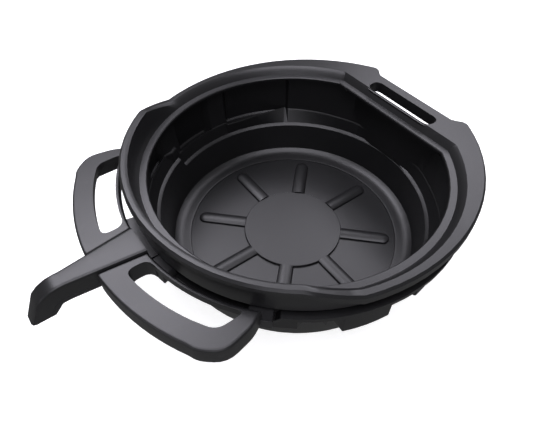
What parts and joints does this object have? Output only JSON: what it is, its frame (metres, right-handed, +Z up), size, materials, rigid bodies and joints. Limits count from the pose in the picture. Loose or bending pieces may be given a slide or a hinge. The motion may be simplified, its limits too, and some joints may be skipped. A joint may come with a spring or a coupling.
{
  "type": "oil drain pan",
  "caption": "Round black plastic drain pan with a lift-off splash ring, a carrying slot at the back, hand loops at the front and a closed pouring spout between them.",
  "frame": {"origin": "on the basin's axis, at the underside that it stands on", "axes": "+Z up, +X towards the pouring spout, +Y towards the right-hand loop as seen from behind the spout"},
  "size_m": [0.5353, 0.4018, 0.1575],
  "materials": {
    "basin_plastic": "satin black moulded polypropylene",
    "ring_plastic": "satin black moulded polypropylene",
    "loop_plastic": "satin black moulded polypropylene",
    "spout_plastic": "satin black moulded polypropylene",
    "seal_rubber": "matt black nitrile",
    "screw_steel": "zinc plated"
  },
  "bodies": {
    "pan": {"basin": "basin_plastic", "right_hand_loop": "loop_plastic", "left_hand_loop": "loop_plastic", "spout_trough": "spout_plastic", "spout_cover": "spout_plastic", "spout_seal": "seal_rubber", "right_loop_near_screw": "screw_steel", "right_loop_far_screw": "screw_steel", "left_loop_near_screw": "screw_steel", "left_loop_far_screw": "screw_steel", "spout_left_screw": "screw_steel", "spout_right_screw": "screw_steel"},
    "ring": {"splash_ring": "ring_plastic"}
  },
  "joints": [
    {"name": "splash_ring_lift", "type": "slide", "parent": "pan", "child": "ring", "axis": [0, 0, 1], "range_m": [0, 0.05]}
  ]
}
